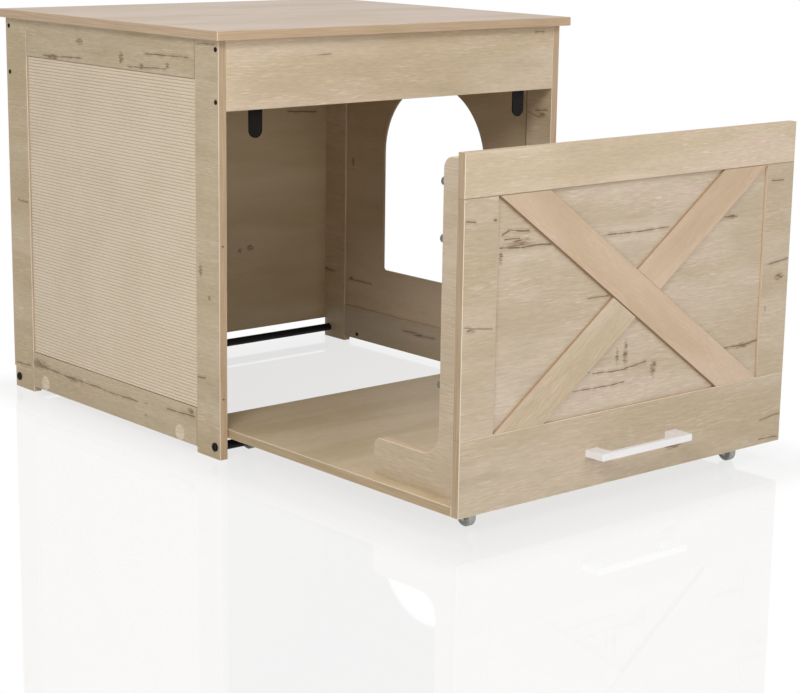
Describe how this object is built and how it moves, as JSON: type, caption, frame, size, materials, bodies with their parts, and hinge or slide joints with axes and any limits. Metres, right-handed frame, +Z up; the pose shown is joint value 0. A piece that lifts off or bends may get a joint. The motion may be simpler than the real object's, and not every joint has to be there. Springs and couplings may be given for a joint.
{
  "type": "drawer litter box",
  "caption": "Framed litter box cabinet with an arched cat entry, a woven scratch mat and a crossed drawer front whose tray rolls out on casters.",
  "frame": {"origin": "on the floor, under the middle of the whole object with the drawer pulled out as stored", "axes": "+Z up, -Y the way the drawer comes out, +X towards the side with the cat entry"},
  "size_m": [0.62, 1.005, 0.557],
  "materials": {
    "oak_laminate": "satin",
    "oak_panel": "satin",
    "oak_pink": "satin",
    "sisal": "matte",
    "cover_disc": "matte",
    "black_steel": "satin",
    "grey_steel": "satin",
    "zinc_steel": "satin",
    "beech": "matte",
    "white_lacquer": "satin",
    "grey_rubber": "matte"
  },
  "bodies": {
    "cabinet": {"top_board": "oak_laminate", "left_front_stile": "oak_laminate", "left_rear_stile": "oak_laminate", "left_top_rail": "oak_laminate", "left_bottom_rail": "oak_laminate", "left_panel": "oak_panel", "scratch_mat": "sisal", "right_front_stile": "oak_laminate", "right_rear_stile": "oak_laminate", "right_top_rail": "oak_laminate", "right_bottom_rail": "oak_laminate", "right_panel": "oak_panel", "back_panel": "oak_panel", "front_apron": "oak_laminate", "rear_rail": "oak_laminate", "rear_tube": "black_steel", "left_front_stub": "black_steel", "right_front_stub": "black_steel", "tube_bolts": "black_steel", "apron_screws": "black_steel", "rear_rail_screws": "black_steel", "back_panel_screws": "black_steel", "hole_covers": "cover_disc", "left_stop_plate": "black_steel", "right_stop_plate": "black_steel", "stop_plate_screws": "black_steel", "side_dowels": "beech", "top_cams": "zinc_steel", "top_cam_bolts": "zinc_steel"},
    "drawer": {"drawer_top_rail": "oak_laminate", "drawer_bottom_rail": "oak_laminate", "drawer_left_stile": "oak_laminate", "drawer_right_stile": "oak_laminate", "drawer_panel": "oak_panel", "brace_long": "oak_pink", "brace_upper": "oak_laminate", "brace_lower": "oak_laminate", "tray_board": "oak_laminate", "left_gusset": "oak_laminate", "right_gusset": "oak_laminate", "gusset_bolts": "grey_steel", "gusset_screws": "black_steel", "drawer_dowels": "beech", "tray_dowels": "beech", "handle": "white_lacquer", "handle_screws": "black_steel", "caster_fork_fl": "zinc_steel", "caster_fork_fr": "zinc_steel", "caster_fork_rl": "zinc_steel", "caster_fork_rr": "zinc_steel", "caster_axles": "zinc_steel", "caster_screws": "zinc_steel"},
    "wheel_fl": {"caster_wheel_fl": "grey_rubber"},
    "wheel_fr": {"caster_wheel_fr": "grey_rubber"},
    "wheel_rl": {"caster_wheel_rl": "grey_rubber"},
    "wheel_rr": {"caster_wheel_rr": "grey_rubber"}
  },
  "joints": [
    {"name": "drawer_slide", "type": "slide", "parent": "cabinet", "child": "drawer", "axis": [0, 1, 0], "range_m": [-0.04, 0.4467]},
    {"name": "wheel_fl_spin", "type": "hinge", "parent": "drawer", "child": "wheel_fl", "pos_m": [-0.233, -0.4305, 0.012], "axis": [1, 0, 0], "continuous": true},
    {"name": "wheel_fr_spin", "type": "hinge", "parent": "drawer", "child": "wheel_fr", "pos_m": [0.233, -0.4305, 0.012], "axis": [1, 0, 0], "continuous": true},
    {"name": "wheel_rl_spin", "type": "hinge", "parent": "drawer", "child": "wheel_rl", "pos_m": [-0.233, -0.0005, 0.012], "axis": [1, 0, 0], "continuous": true},
    {"name": "wheel_rr_spin", "type": "hinge", "parent": "drawer", "child": "wheel_rr", "pos_m": [0.233, -0.0005, 0.012], "axis": [1, 0, 0], "continuous": true}
  ]
}
